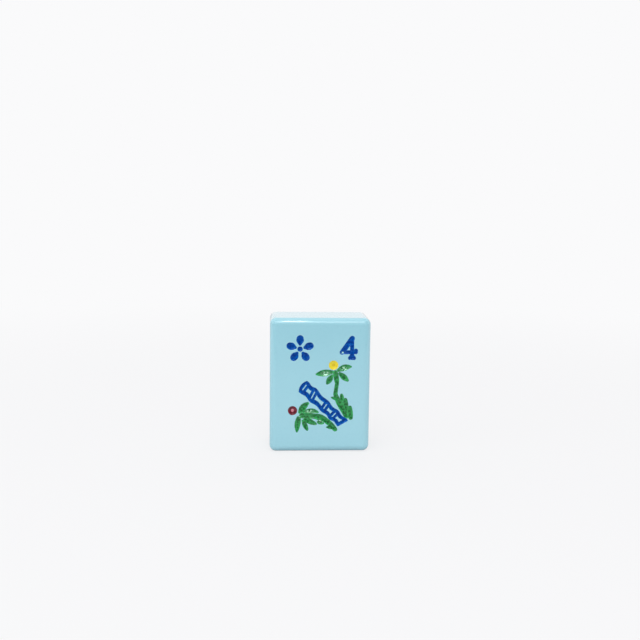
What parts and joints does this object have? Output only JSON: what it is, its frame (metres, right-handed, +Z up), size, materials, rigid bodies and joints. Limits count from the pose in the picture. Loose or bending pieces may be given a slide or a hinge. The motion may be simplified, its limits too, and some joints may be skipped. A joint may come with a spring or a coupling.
{
  "type": "mahjong tile",
  "caption": "Solid moulded game tile with round edges and an engraved face whose recesses hold painted bamboo, leaves, a blossom and a numeral.",
  "frame": {"origin": "middle of the lower end, on which the tile stands", "axes": "+Z up along the tile's height, +X across its width to the right as the face is seen, +Y through its thickness from the engraved face to the back, so the face looks along -Y"},
  "size_m": [0.0222, 0.0126, 0.03],
  "materials": {
    "tile_block": "polished moulded melamine, light aqua",
    "blue_paint": "glossy blue paint cured in the engraving",
    "green_paint": "glossy green paint cured in the engraving",
    "yellow_paint": "glossy yellow paint cured in the engraving",
    "ochre_paint": "glossy ochre paint cured in the engraving",
    "red_paint": "glossy dark red paint cured in the engraving",
    "pink_paint": "glossy pink paint cured in the engraving"
  },
  "bodies": {
    "root": {"tile_block": "tile_block", "numeral_paint": "blue_paint", "rosette_petal_1": "blue_paint", "rosette_petal_2": "blue_paint", "rosette_petal_3": "blue_paint", "rosette_petal_4": "blue_paint", "rosette_petal_5": "blue_paint", "rosette_dot": "blue_paint", "bamboo_cane": "blue_paint", "blossom_ring": "yellow_paint", "blossom_eye": "ochre_paint", "berry_ring": "red_paint", "berry_eye": "pink_paint", "upper_leaf_left": "green_paint", "upper_leaf_low_left": "green_paint", "upper_leaf_low_right": "green_paint", "upper_leaf_right": "green_paint", "upper_stem": "green_paint", "grass_blade_1": "green_paint", "grass_blade_2": "green_paint", "grass_blade_3": "green_paint", "lower_leaf_top": "green_paint", "lower_leaf_broad": "green_paint", "lower_leaf_middle": "green_paint", "lower_leaf_inner": "green_paint", "lower_leaf_low_right": "green_paint", "lower_leaf_down": "green_paint", "lower_stem": "green_paint"}
  },
  "joints": []
}
